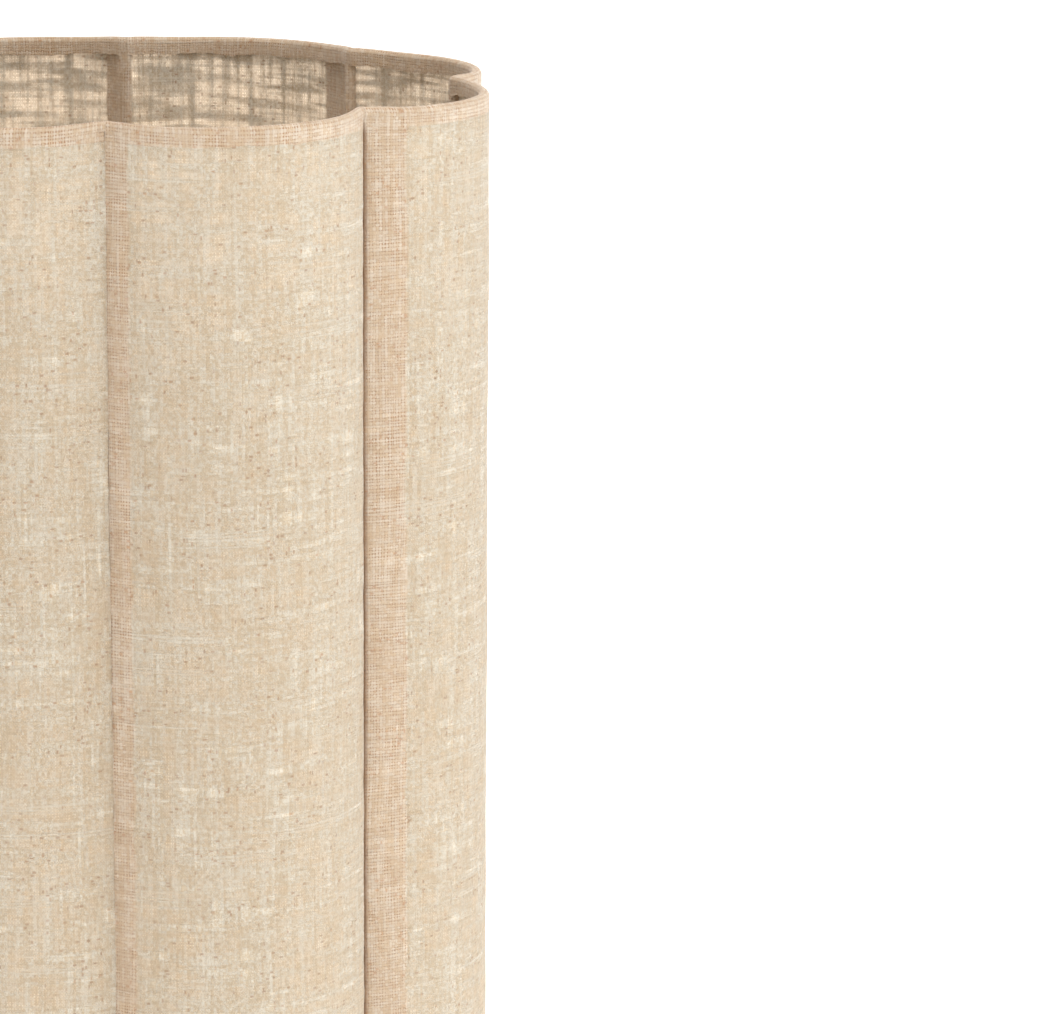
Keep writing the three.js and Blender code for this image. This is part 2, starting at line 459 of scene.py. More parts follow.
def linen_material(name, look, sizes, doubled):
    """Plain-woven linen on the cloth's own UV map.

    Warp threads stand every warp pitch along U and weft threads every weft pitch along V. Each thread
    has a width and a tone of its own that wander along it. sin(pi U) sin(pi V), with U and V counted
    in threads, changes sign from cell to cell, and says which thread passes over. Where both fall
    short there is a hole. A second layer backs all of doubled cloth, and otherwise only the strips at
    the hems and beside the seam: there the holes and the cloth are painted darker, as painted shade
    for holes that look into shade, and less light comes through.
    """
    made, tree, output = new_material(name)
    uv = add_node(tree, "UVMap", {}, uv_map="weave")
    parts = add_node(tree, "SeparateXYZ", {0: uv.outputs[0]})
    u, v = Field(tree, parts.outputs[0]), Field(tree, parts.outputs[1])
    crease, backing = mark(tree, "crease"), mark(tree, "backing")

    across = u / look.warp_pitch + (noise(u * 30.0, v * 14.0) - 0.5) * 2.2
    across = across + (noise(u * 380.0, v * 24.0) - 0.5) * 0.8
    along = v / look.weft_pitch + (noise(u * 11.0, v * 36.0 + 40.0) - 0.5) * 2.6
    along = along + (noise(u * 24.0, v * 330.0) - 0.5) * 0.8
    warp, weft = across.floor(), along.floor()

    # Each thread's own width: a slow wander along it, and a step from one thread to the next.
    warp_half = noise(warp * 7.31, v * 120.0, detail=1.0).eased(0.25, 0.75, 0.25, 0.47)
    weft_half = noise(u * 100.0, weft * 5.17, detail=1.0).eased(0.25, 0.78, 0.23, 0.48)
    from_warp = (across.part() - 0.5).size()
    from_weft = (along.part() - 0.5).size()
    warp_cover = from_warp.eased(warp_half - 0.11, warp_half + 0.11, 1.0, 0.0)
    weft_cover = from_weft.eased(weft_half - 0.11, weft_half + 0.11, 1.0, 0.0)
    hole = warp_cover.flipped() * weft_cover.flipped()

    over = (across * math.pi).sine() * (along * math.pi).sine()
    warp_top = over.eased(-0.5, 0.5)
    relief = (warp_cover * warp_top).larger(weft_cover * warp_top.flipped())

    if doubled:
        backed = u * 0.0 + 1.0
    else:
        soft = 0.3 * MM
        ragged = (noise(v * 90.0, u * 4.0) - 0.5) * 1.6 * MM
        seam_band = (backing + ragged).eased(-4 * soft, soft)
        hem_edge = v + (noise(u * 120.0, v * 6.0) - 0.5) * 1.2 * MM
        inner_edge = HEIGHT - sizes.turn_in
        top_band = hem_edge.eased(inner_edge - soft, inner_edge + soft)
        low_band = hem_edge.eased(sizes.turn_in - soft, sizes.turn_in + soft, 1.0, 0.0)
        backed = seam_band.larger(top_band).larger(low_band)

    # Shade of the cloth: each crossing, each thread along its length, and a fine and a coarse mottle.
    crossing = (chance(warp, 0.37, weft) - 0.5) * 0.9
    warp_shade = (noise(warp * 3.7, v * 42.0, detail=1.0) - 0.5) * 1.9
    weft_shade = (noise(u * 60.0, weft * 2.9, detail=1.0) - 0.5) * 0.8
    streak = warp_shade + weft_shade
    fine = (noise(u * 1150.0, v * 900.0, detail=2.0) - 0.5) * 2.6
    coarse = (noise(u * 60.0, v * 40.0, detail=2.0) - 0.5) * 0.5
    fibre = (noise(u * 3100.0, v * 2900.0) - 0.5) * 2.2
    paleness = crossing + streak + (fine + fibre) * (backed * -0.45 + 1.0) + coarse + 0.46

    # Slubs: thin pale stretches of a few neighbouring weft threads, and fewer of the warp.
    weft_core, warp_core = from_weft.eased(0.14, 0.40, 1.0, 0.0), from_warp.eased(0.14, 0.40, 1.0, 0.0)
    six_threads = (along / 6.0).floor()
    weft_slub = noise(u * 19.0, six_threads * 9.13 + 3.0).eased(0.67, 0.78)
    weft_slub = weft_slub * chance(weft, 3.3).eased(0.50, 0.55)
    warp_slub = noise(warp * 6.7 + 9.0, v * 30.0).eased(0.66, 0.76)
    warp_slub = warp_slub * chance(warp, 5.9).eased(0.86, 0.89)
    slub = (weft_slub * weft_core * 0.75).larger(warp_slub * warp_cover * 0.5)

    # Flecks of bark: short dark stretches lying in one thread, thicker on the ground in patches.
    patches = noise(u * 60.0 + 7.0, v * 75.0, detail=1.0).eased(0.42, 0.70)
    weft_dash = u / look.fleck_length + chance(weft, 2.2) * 9.0
    warp_dash = v / look.fleck_length + chance(warp, 6.4) * 9.0
    in_weft = (chance(weft_dash.floor(), 4.1, weft) + patches * 0.050).eased(0.965, 1.01) * weft_core
    in_warp = (chance(warp_dash.floor(), 7.7, warp) + patches * 0.030).eased(0.972, 1.01) * warp_core
    in_weft = in_weft * (weft_dash.part() - 0.5).size().eased(0.20, 0.46, 1.0, 0.0)
    in_warp = in_warp * (warp_dash.part() - 0.5).size().eased(0.20, 0.46, 1.0, 0.0)
    fleck = in_weft.larger(in_warp)

    # Coarse uneven density, which shows as a plaid where light comes through a single layer.
    upright = noise(u * 290.0, v * 18.0 + 2.0, detail=1.5).eased(0.46, 0.64)
    level = noise(u * 34.0 + 5.0, v * 290.0, detail=1.5).eased(0.46, 0.64)
    thin = noise(u * 110.0, v * 100.0 + 21.0, detail=2.0).eased(0.34, 0.62)
    warp_thick = noise(warp * 5.1, v * 60.0 + 3.0).eased(0.38, 0.60)
    warp_thick = chance(warp, 11.3).eased(0.60, 0.72) * warp_thick
    weft_thick = noise(u * 60.0 + 3.0, weft * 5.3).eased(0.38, 0.60)
    weft_thick = chance(weft, 13.9).eased(0.60, 0.72) * weft_thick
    dense = (upright * 0.40 + level * 0.55) * (thin * -0.60 + 1.2)
    dense = dense + warp_thick.larger(weft_thick) * 0.30

    # Light turned back: thread colour, with painted shade between the threads, in the holes, in the folds, on
    # dense single cloth and on doubled cloth, where less light comes through from inside.
    pale_thread = tuple(look.pale_thread)
    thread = blend_colour(tree, paleness, tuple(look.thread), pale_thread)
    thread = blend_colour(tree, slub * 0.85, thread, pale_thread)
    shadow = (relief.flipped() * 0.10).larger(hole * (backed * 0.76 + 0.12)).larger(crease * 0.85)
    shadow = shadow + dense * (backed * -0.04 + 0.04) + backed * 0.37
    base = blend_colour(tree, shadow, thread, tuple(look.painted_shade))
    base = blend_colour(tree, fleck * 0.6, base, tuple(look.fleck))

    # Light let through: less where the cloth is dense, flecked or folded in, more at the holes.
    passing = (dense * 0.75).flipped().larger(0.1)
    passing = passing * (fleck * 0.3).flipped() * (crease * 0.8).flipped()
    passing = passing * (hole * 0.42 + fine * 0.12 + 0.80)
    through = blend_colour(tree, hole * 0.9, tuple(look.lit_thread), tuple(look.lit_hole))
    grey = add_node(tree, "CombineColor", {0: passing, 1: passing, 2: passing}).outputs[0]
    through = blend_colour(tree, 1.0, through, grey, "MULTIPLY")

    height = relief + slub * 0.5 + (noise(u * 2600.0, v * 2600.0) - 0.5) * 0.3
    taken = {
        "Base Color": base,
        "Normal": bumped(tree, height, 0.55, 0.22 * MM),
        "Roughness": relief * -0.06 + 0.92,
        "Specular IOR Level": 0.12,
        "Sheen Weight": 0.28,
        "Sheen Roughness": 0.5,
    }
    turned_back = add_node(tree, "BsdfPrincipled", taken)
    let_through = add_node(tree, "BsdfTranslucent", {"Color": through})
    share_through = (dense * -0.38 + 1.0) * (backed * -0.5 + 1.0) * look.see_through
    mixed_surface(tree, output, share_through, turned_back, let_through)
    return made


def object_noise(tree, scale, detail):
    """Noise on the piece's own coordinates."""
    place = add_node(tree, "TexCoord", {}).outputs["Object"]
    node = add_node(tree, "TexNoise", {"Vector": place, "Scale": scale, "Detail": detail})
    return Field(tree, node.outputs[0])


def coated_material(name, colour, worn, roughness, grain, grain_scale):
    """Enamel or moulded plastic: slow tone change, fine orange-peel grain and uneven gloss."""
    made, tree, output = new_material(name)
    slow = object_noise(tree, 45.0, 3.0)
    fine = object_noise(tree, grain_scale, 2.0)
    taken = {
        "Base Color": blend_colour(tree, slow.eased(0.35, 0.75), colour, worn),
        "Roughness": fine.eased(0.3, 0.7, roughness - 0.05, roughness + 0.08),
        "Normal": bumped(tree, fine, grain, 0.05 * MM),
    }
    join(tree, add_node(tree, "BsdfPrincipled", taken).outputs[0], output.inputs["Surface"])
    return made


def material(name):
    """A finish by name, made once."""
    if name in bpy.data.materials:
        return bpy.data.materials[name]
    if name in ("linen_single", "linen_double"):
        look, sizes = bpy.context.scene.linen_look, bpy.context.scene.shade_sizes
        return linen_material(name, look, sizes, doubled=name == "linen_double")
    if name == "frame_enamel_fine":
        return coated_material(name, (0.80, 0.79, 0.75), (0.70, 0.68, 0.63), 0.36, 0.25, 1600.0)
    return coated_material(name, (0.86, 0.85, 0.81), (0.80, 0.78, 0.73), 0.44, 0.35, 2400.0)


def finish_piece(made, finish, body=BODY, nodes=()):
    """Gives a piece its material, the body it rides on and the nodes it stands for."""
    made.data.materials.append(material(finish))
    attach(made, body)
    if nodes:
        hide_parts(*nodes)
    return made


# ---- Cloth ----


def seam_wander(index, z):
    """How far a seam strays sideways at a height, in metres: its lean, and a slow wave up the shade."""
    seam = index % LOBES
    return SEAM_LEANS[seam] * MM + 0.16 * MM * waves(z, 100 + seam, 4, 0.05, 0.30)


def rim_lift(angle, sizes):
    """How far the rim lifts at an angle about a lobe's centre: a bell curve at each cusp."""
    near = 1 - np.abs(angle) / PLAN.cusp_angle
    return sizes.cusp_rise * np.exp(-((near / 0.27) ** 2))


def panel_grid(index, sizes, rows=130, arc_steps=64, fold_steps=7):
    """The middle, normals, UV and marks of one panel.

    In the lobe's frame the section is an arc about the lobe's centre. Near each cusp it turns in with
    a small fold whose circle touches the arc from inside and ends parallel to the cusp's plane. The
    section is carried up the shade; near the hems the fold tightens and the seam closes. The marks
    are crease, from 0 to 1 along each fold, and backing, how far a point lies inside the allowance.
    """
    bottom, top = sizes.lip, HEIGHT - sizes.lip
    z = bottom + (top - bottom) * np.linspace(0, 1, rows)[:, None]
    from_rim = np.minimum(z - bottom, top - z)
    opened = 1 - np.exp(-((from_rim / (2.5 * MM)) ** 2))
    step = np.linspace(-1, 1, arc_steps + 1)[None, :]
    fold_share = np.linspace(0, 1, fold_steps + 1)[1:][None, :]
    side_of = np.concatenate([np.full(fold_steps, -1.0), step[0], np.full(fold_steps, 1.0)])[None, :]
    before, after = LOOSENESS[index], LOOSENESS[(index + 1) % LOBES]
    loose = (before + after) / 2 + (after - before) / 2 * side_of
    fold = FREE_FOLD + np.maximum(sizes.seam_fold * loose - FREE_FOLD, 0) * opened
    arc = PLAN.radius + sizes.cloth_offset
    plane = sizes.seam_gap * loose * opened + sizes.cloth / 2 + fold
    turn = PLAN.half_angle(arc - fold, plane)
    beyond = HALF_PITCH + math.pi / 2 - turn

    extra = np.concatenate([-fold_share[0, ::-1], 0 * step[0], fold_share[0]])[None, :]
    held = side_of * turn
    angle = held + extra * beyond
    x = PLAN.centre + (arc - fold) * np.cos(held) + fold * np.cos(angle)
    y = (arc - fold) * np.sin(held) + fold * np.sin(angle)
    normal = turned(np.cos(angle), np.sin(angle), 0.0, lobe_turn(index))
    along = held * arc + (angle - held) * fold

    # The cloth follows each seam's wander near it, and has a slight quilt of its own.
    side = held / PLAN.cusp_angle
    left, right = seam_wander(index, z), seam_wander(index + 1, z)
    shift = left * np.clip(-side, 0, 1) ** 6 + right * np.clip(side, 0, 1) ** 6
    x = x - shift * np.sin(held)
    y = y + shift * np.cos(held)
    free = np.cos(side * math.pi / 2) * np.clip(from_rim / 0.02, 0, 1)
    quilt = 0.16 * MM * free * waves(z + 0.4 * along, 20 + index, 5, 0.03, 0.16)
    pucker = 0.10 * MM * waves(z, 60 + index, 6, 0.008, 0.03)
    pucker = pucker * np.exp(-(((1 - np.abs(side)) / 0.12) ** 2)) * np.clip(from_rim / 0.01, 0, 1)
    swell = quilt + pucker
    x = x + swell * np.cos(held)
    y = y + swell * np.sin(held)
    lift = rim_lift(held, sizes) * np.clip(1 - (top - z) / 0.03, 0, 1) ** 2
    points = turned(x, y, z + lift, lobe_turn(index))
    uv = np.stack([(index + 0.5) * LOBE_STRIDE + along, np.broadcast_to(z, along.shape)], axis=-1)
    width = sizes.allowance * ALLOWANCE_SHARES[index]
    crease = np.abs(extra) ** 1.2 * opened * np.clip(1.2 * loose, 0, 1)
    return points, normal, uv, {"crease": crease, "backing": width - (held + PLAN.cusp_angle) * arc}


class SHADE_OT_panels(bpy.types.Operator):
    """Makes the eight linen panels, each one lobe of the scallop"""

    bl_idname = "lamp_shade.panels"
    bl_label = "Linen panels"

    def execute(self, context):
        sizes = context.scene.shade_sizes
        arc = 2 * PLAN.cusp_angle * (PLAN.radius + sizes.cloth_offset)
        for index in range(LOBES):
            points, normal, uv, marks = panel_grid(index, sizes)
            front, back = sheet_between(points, normal, sizes.cloth)
            made = cloth_shell(f"linen_panel_{index + 1}", front, back, uv, marks=marks)
            finish_piece(made, "linen_single", nodes=[f"panel_{index + 1}"])
        return {"FINISHED"}


def hem_band(name, top, sizes, seed):
    """A rolled hem: up the outside of the ring, round it in a half circle, and down the inside.

    Its profile is carried round the scallop. On the inside it stands off further at each cusp, where
    it covers the wrapped strut. Its turned-in edge wanders and thins. Returns the piece and the
    width of its strip of cloth.
    """
    # Steps round each lobe lie closer together near the cusps.
    per_lobe = 64
    share_of_lobe = (np.arange(per_lobe) + 0.5) / per_lobe
    eased = 0.5 - 0.5 * np.cos(math.pi * share_of_lobe)
    share_of_lobe = 0.55 * share_of_lobe + 0.45 * eased
    azimuth = ((np.arange(LOBES)[:, None] + share_of_lobe[None, :]) * 2 * HALF_PITCH).ravel()
    off, ring = sizes.cloth_offset, RING_HEIGHT
    half_turn = np.linspace(0, math.pi, 17)
    outer = np.linspace(sizes.lip, ring, 6)[:-1]
    inner = np.linspace(ring, sizes.turn_in, 12)[1:]
    offset = np.concatenate([np.full(len(outer), off), off * np.cos(half_turn), np.full(len(inner), -off)])
    depth = np.concatenate([outer, ring - off * np.sin(half_turn), inner])
    inside = np.clip((depth - ring) / (sizes.turn_in - ring), 0, 1) * (offset < -0.9 * off)

    # The edge wanders slowly and frays a little; the cusp is rounded more on the inside.
    around = azimuth * CUSP_RADIUS
    circle = 2 * math.pi * CUSP_RADIUS
    edge = 0.35 * MM * waves(around, seed, 6, circle / 60, circle / 18)
    edge = edge + 0.22 * MM * waves(around, seed + 30, 7, circle / 400, circle / 120)
    soften = (0.6 + 1.2 * np.clip(-offset / off, 0, 1))[:, None] * MM / CUSP_RADIUS
    from_cusp = np.mod(azimuth, 2 * HALF_PITCH)
    near = np.minimum(from_cusp, 2 * HALF_PITCH - from_cusp)
    over_strut = 0.55 * MM * np.exp(-((near * CUSP_RADIUS / (4 * MM)) ** 2))
    offsets = offset[:, None] - over_strut[None, :] * (offset < 0)[:, None] * (-offset / off)[:, None]
    depths = depth[:, None] + edge[None, :] * inside[:, None]

    radius, angle = PLAN.ring(np.broadcast_to(azimuth, offsets.shape), offsets, soften)
    lift = rim_lift(angle, sizes) if top else 0.0
    bearing = azimuth[None, :] - math.pi / 2
    z = HEIGHT - depths + lift if top else depths
    points = np.stack([radius * np.cos(bearing), radius * np.sin(bearing), z], axis=-1)
    wrapped = np.concatenate([points[:, -1:], points, points[:, :1]], axis=1)

    strip = np.cumsum(np.r_[0, np.hypot(np.diff(offset), np.diff(depth))])
    along = PLAN.ring(azimuth, off, soften[0])[1] * (PLAN.radius + off)
    lobe = np.floor(azimuth / (2 * HALF_PITCH))
    u = (lobe + 0.5) * LOBE_STRIDE + along
    u = np.append(u, (LOBES - 0.5) * LOBE_STRIDE + PLAN.cusp_angle * (PLAN.radius + off))
    v = HEIGHT - sizes.lip + strip if top else sizes.lip - strip
    uv = np.stack(np.broadcast_arrays(u[None, :], v[:, None]), axis=-1)
    thinned = sizes.cloth * (1 - 0.6 * np.linspace(0, 1, len(offset))[:, None, None] ** 12)
    if not top:
        points, uv, wrapped, thinned = points[::-1], uv[::-1], wrapped[::-1], thinned[::-1]
    front, back = sheet_between(points, swept_normals(wrapped)[:, 1:-1], thinned)
    made = cloth_shell(name, front, back, uv, closed=True)
    return made, float(strip[-1])


class SHADE_OT_hems(bpy.types.Operator):
    """Makes the rolled hems over the two rim rings"""

    bl_idname = "lamp_shade.hems"
    bl_label = "Rolled hems"

    def execute(self, context):
        sizes = context.scene.shade_sizes
        girth = LOBES * 2 * PLAN.cusp_angle * PLAN.radius
        for name, node, top, seed in (
            ("rolled_hem_top", "top_hem", True, 7),
            ("rolled_hem_bottom", "bottom_hem", False, 8),
        ):
            made, width = hem_band(name, top, sizes, seed)
            finish_piece(made, "linen_double", nodes=[node])
        return {"FINISHED"}


def allowance_grid(index, sizes, rows=120):
    """The middle, normals and UV of one seam allowance, its two layers as one sheet.

    From the seam it makes a half turn round the strut, then runs along the next lobe while its offset
    eases from inside the wire to just behind the panel. Its free edge wanders.
    """
    low, high = sizes.turn_in - 2.0 * MM, HEIGHT - sizes.turn_in + 2.0 * MM
    z = np.linspace(low, high, rows)[:, None]
    wrap = WIRE_RADIUS + 0.08 * MM + sizes.two_plies / 2
    flat_offset = sizes.cloth_offset - sizes.cloth / 2 - 0.12 * MM - sizes.two_plies / 2
    begin = -PLAN.cusp_angle
    cusp = np.array([PLAN.centre + PLAN.radius * math.cos(begin), PLAN.radius * math.sin(begin)])
    half_turn = np.linspace(begin, begin - math.pi, 15)[:-1][None, :]
    edge = sizes.allowance * ALLOWANCE_SHARES[index] + 0.35 * MM * waves(z, 40 + index, 7, 0.004, 0.05)
    run = np.linspace(0, 1, 36)[None, :] * edge
    eased = np.clip(run / (7 * MM), 0, 1)
    eased = eased * eased * (3 - 2 * eased)
    offset = -wrap + (flat_offset + wrap) * eased
    bearing = begin + run / PLAN.radius
    x_wrap = cusp[0] + wrap * np.cos(half_turn) + 0 * z
    y_wrap = cusp[1] + wrap * np.sin(half_turn) + 0 * z
    x_run = PLAN.centre + (PLAN.radius + offset) * np.cos(bearing)
    y_run = (PLAN.radius + offset) * np.sin(bearing)
    wander = seam_wander(index, z)
    x = np.concatenate([x_wrap, x_run], axis=1)
    y = np.concatenate([y_wrap, y_run], axis=1)
    ripple = 0.12 * MM * waves(z, 80 + index, 6, 0.010, 0.05)
    ripple = ripple * np.linspace(0, 1, x.shape[1])[None, :] ** 2
    x = x - wander * math.sin(begin) - ripple
    y = y + wander * math.cos(begin)
    points = turned(x, y, z, lobe_turn(index))
    along = np.concatenate([wrap * (begin - half_turn) + 0 * z, wrap * math.pi + run], axis=1)
    uv = np.stack([(index + 0.31) * LOBE_STRIDE + along, np.broadcast_to(z, along.shape)], axis=-1)
    return points, swept_normals(points), uv


class SHADE_OT_allowances(bpy.types.Operator):
    """Makes the seam allowances, wrapped round the struts and pressed to one side"""

    bl_idname = "lamp_shade.allowances"
    bl_label = "Seam allowances"

    def execute(self, context):
        sizes = context.scene.shade_sizes
        for index in range(LOBES):
            points, normals, uv = allowance_grid(index, sizes)
            front, back = sheet_between(points, normals, sizes.two_plies)
            made = cloth_shell(f"seam_wrap_{index + 1}", front, back, uv)
            finish_piece(made, "linen_double", nodes=[f"seam_allowance_{index + 1}"])
        return {"FINISHED"}


# ---- Frame and fitter ----


def tube_quads(rows, sides, closed=False):
    """Quads of a grid that closes on itself sideways, and from last row to first where closed."""
    row, side = np.meshgrid(np.arange(rows if closed else rows - 1), np.arange(sides), indexing="ij")
    next_row, next_side = (row + 1) % rows, (side + 1) % sides
    corners = ((row, side), (row, next_side), (next_row, next_side), (next_row, side))
    return np.stack([r * sides + s for r, s in corners], axis=-1).reshape(-1, 4)


def end_fan(first, sides, tip):
    """Triangles from a ring of points, numbered on from first, to a tip."""
    spokes = np.arange(sides)
    return np.stack([first + spokes, first + (spokes + 1) % sides, np.full(sides, tip)], axis=-1)


def lathe(name, profile, steps):
    """A closed profile of (radius, height) pairs carried round the Z axis."""
    profile = np.array(profile)
    turn = np.arange(steps) * 2 * math.pi / steps
    radius, height = profile[:, 0][:, None], profile[:, 1][:, None]
    x, y = radius * np.cos(turn), radius * np.sin(turn)
    points = np.stack([x, y, np.broadcast_to(height, x.shape)], axis=-1)
    faces = tube_quads(len(profile), steps, closed=True)
    return new_mesh(name, points.reshape(-1, 3), faces, 40)


def rounded(corners, radius, steps=4):
    """A closed outline with each corner cut by an arc, or as much of one as its sides allow."""
    corners = np.array(corners, float)
    found = []
    for i, corner in enumerate(corners):
        before, after = corners[i - 1] - corner, corners[(i + 1) % len(corners)] - corner
        reach = min(radius, np.linalg.norm(before) / 2.05, np.linalg.norm(after) / 2.05)
        start = corner + before / np.linalg.norm(before) * reach
        end = corner + after / np.linalg.norm(after) * reach
        t = np.linspace(0, 1, steps + 1)[:, None]
        found.append((1 - t) ** 2 * start + 2 * t * (1 - t) * corner + t**2 * end)
    return np.concatenate(found)


def wire(path, radius, sides=20):
    """A round wire along a path of points in a vertical plane through the axis, with domed ends.

    The section is a circle across the path; at each end it shrinks along a quarter circle.
    """
    path = np.array(path, float)
    tangent = np.gradient(path, axis=0)
    tangent /= np.linalg.norm(tangent, axis=1, keepdims=True)
    side = np.cross(tangent[0], [0, 0, 1.0])
    side /= np.linalg.norm(side)
    up = np.cross(side, tangent)
    dome = np.linspace(0, math.pi / 2, 6)
    end = radius * np.sin(dome)
    radii = np.concatenate([end, np.full(len(path) - 2, radius), end[::-1]])
    radii = np.maximum(radii, radius * 0.02)
    head = path[0] - tangent[0] * radius * np.cos(dome)[:, None] + tangent[0] * radius
    tail = path[-1] + tangent[-1] * radius * np.cos(dome[::-1])[:, None] - tangent[-1] * radius
    centre = np.concatenate([head, path[1:-1], tail])
    up = np.concatenate([np.repeat(up[:1], 6, 0), up[1:-1], np.repeat(up[-1:], 6, 0)])
    turn = np.arange(sides) * 2 * math.pi / sides
    ring = side * np.cos(turn)[:, None]
    points = centre[:, None] + radii[:, None, None] * (ring[None] + up[:, None] * np.sin(turn)[None, :, None])
    points = points.reshape(-1, 3)
    count = len(points)
    start_fan = end_fan(0, sides, count)[:, [0, 2, 1]]
    tail_fan = end_fan(count - sides, sides, count + 1)
    points = np.concatenate([points, centre[:1], centre[-1:]])
    return points, tube_quads(len(centre), sides), np.concatenate([start_fan, tail_fan])


def mixed_mesh(name, points, quads, triangles, smooth_angle=45):
    """A mesh object of quads and triangles, with its faces turned outwards.

    The volume is a third of the sum, over the faces, of area times the distance of the face's plane
    from the middle; it comes out below 0 where the faces look inwards.
    """
    mesh = bpy.data.meshes.new(name)
    mesh.from_pydata(points.tolist(), [], quads.tolist() + triangles.tolist())
    mesh.update()
    count = len(mesh.polygons)
    areas, normals, centres = np.empty(count), np.empty(count * 3), np.empty(count * 3)
    mesh.polygons.foreach_get("area", areas)
    mesh.polygons.foreach_get("normal", normals)
    mesh.polygons.foreach_get("center", centres)
    outward = (centres.reshape(-1, 3) - points.mean(axis=0)) * normals.reshape(-1, 3)
    if (areas * outward.sum(axis=1)).sum() < 0:
        mesh.flip_normals()
    return smooth_object(name, mesh, smooth_angle)


class SHADE_OT_wire_frame(bpy.types.Operator):
    """Finishes the rim rings and struts with white enamel"""

    bl_idname = "lamp_shade.wire_frame"
    bl_label = "Wire frame"

    def execute(self, context):
        enamel = material("frame_enamel_fine")
        names = ["top_ring", "bottom_ring"] + [f"strut_{i + 1}" for i in range(LOBES)]
        for name in names:
            for place in bpy.data.objects[name].material_slots:
                place.material = enamel
        return {"FINISHED"}


class SHADE_OT_fitter(bpy.types.Operator):
    """Makes the fitter ring and the arms that carry it"""

    bl_idname = "lamp_shade.fitter"
    bl_label = "Fitter ring and arms"

    def execute(self, context):
        low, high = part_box("fitter_ring")
        bottom, top, outer = low[2], high[2], high[0]
        band, bead = 9 * MM, 0.5 * MM
        hole = outer - band
        outline = rounded(
            [
                (hole, bottom),
                (outer, bottom),
                (outer, top),
                (outer - 2.4 * MM, top),
                (outer - 3.0 * MM, top - bead),
                (hole + 2.6 * MM, top - bead),
                (hole + 2.0 * MM, top),
                (hole, top),
            ],
            0.35 * MM,
        )
        made = lathe("pressed_fitter_ring", outline, 128)
        finish_piece(made, "frame_enamel_fine", nodes=["fitter_ring"])
        for index in range(4):
            self.arm(index, outer)
        return {"FINISHED"}

    def arm(self, index, ring_radius):
        """One arm: a straight wire with a short level foot on its strut and a level head on the ring."""
        low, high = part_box(f"fitter_arm_{index + 1}")
        radius = min(high[0] - low[0], high[1] - low[1]) / 2
        turn = 4 * index * HALF_PITCH - math.pi / 2
        foot = CUSP_RADIUS - WIRE_RADIUS - 0.25 * MM
        foot_height = low[2] + radius
        head = ring_radius - 0.2 * MM
        head_height = high[2] - radius
        reach = np.linspace(0, 1, 40)
        eased = reach**2 * (3 - 2 * reach)
        straightened = 0.75 * reach + 0.25 * eased
        distance = foot + (head - foot) * reach
        height = foot_height + (head_height - foot_height) * straightened
        path = np.stack([distance * math.cos(turn), distance * math.sin(turn), height], axis=-1)
        made = mixed_mesh(f"bent_arm_{index + 1}", *wire(path, radius))
        finish_piece(made, "frame_enamel_fine", nodes=[f"fitter_arm_{index + 1}"])
        for end, name, size in ((path[0], "foot", 1.5), (path[-1], "head", 1.7)):
            weld = self.weld(f"weld_{name}_{index + 1}", end, radius * size)
            finish_piece(weld, "frame_enamel_fine")

    def weld(self, name, centre, radius):
        """A bead of weld: a ball whose radius swells and dips a little with latitude and longitude."""
        latitude = np.linspace(0, math.pi, 14)[:, None]
        longitude = (np.arange(22) * 2 * math.pi / 22)[None, :]
        lumps = 0.08 * np.sin(3 * longitude + 1) * np.sin(latitude) ** 2
        lumpy = radius * (1 + lumps + 0.05 * np.cos(5 * latitude))
        points = np.stack(
            [
                centre[0] + lumpy * np.sin(latitude) * np.cos(longitude),
                centre[1] + lumpy * np.sin(latitude) * np.sin(longitude),
                centre[2] + 0.85 * lumpy * np.cos(latitude),
            ],
            axis=-1,
        )
        rows, sides = points.shape[:2]
        inner = points[1:-1].reshape(-1, 3)
        poles = np.array([points[0, 0], points[-1, 0]])
        count = len(inner)
        first_fan = end_fan(0, sides, count)
        last_fan = end_fan(count - sides, sides, count + 1)[:, [1, 0, 2]]
        quads = tube_quads(rows - 2, sides)[:, [0, 3, 2, 1]]
        fans = np.concatenate([first_fan, last_fan])
        return mixed_mesh(name, np.concatenate([inner, poles]), quads, fans)


class SHADE_OT_reducer(bpy.types.Operator):
    """Makes the loose moulded reducer that sits in the fitter ring"""

    bl_idname = "lamp_shade.reducer"
    bl_label = "Reducer ring"

    def execute(self, context):
        low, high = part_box("reducer_ring")
        bottom, top, flange = low[2], high[2], high[0]
        hole, spigot = flange - 10.5 * MM, flange - 4.4 * MM
        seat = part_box("fitter_ring")[1][2] + 0.3 * MM
        outline = rounded(
            [
                (hole, bottom),
                (hole + 1.6 * MM, bottom),
                (hole + 1.9 * MM, bottom + 0.7 * MM),
                (spigot - 1.5 * MM, bottom + 0.7 * MM),
                (spigot - 1.2 * MM, bottom),
                (spigot, bottom),
                (spigot, seat),
                (flange, seat),
                (flange, top),
                (flange - 1.5 * MM, top),
                (flange - 1.9 * MM, top - 0.4 * MM),
                (hole + 1.7 * MM, top - 0.4 * MM),
                (hole + 1.3 * MM, top),
                (hole, top),
            ],
            0.3 * MM,
        )
        made = lathe("moulded_reducer", outline, 128)
        finish_piece(made, "reducer_plastic_fine", "reducer", ["reducer_ring"])
        return {"FINISHED"}


# ---- Stage ----


def aim(made, place, target):
    """Puts a light at a place, turned to a target."""
    made.location = place
    made.rotation_euler = (Vector(target) - Vector(place)).to_track_quat("-Z", "Y").to_euler()


def area_light(name, place, target, size, power, colour=WHITE):
    """A large soft light."""
    data = bpy.data.lights.new(name, "AREA")
    data.shape = "RECTANGLE"
    data.size, data.size_y = size
    data.energy = power
    data.color = colour
    made = bpy.data.objects.new(name, data)
    bpy.context.scene.collection.objects.link(made)
    aim(made, place, target)


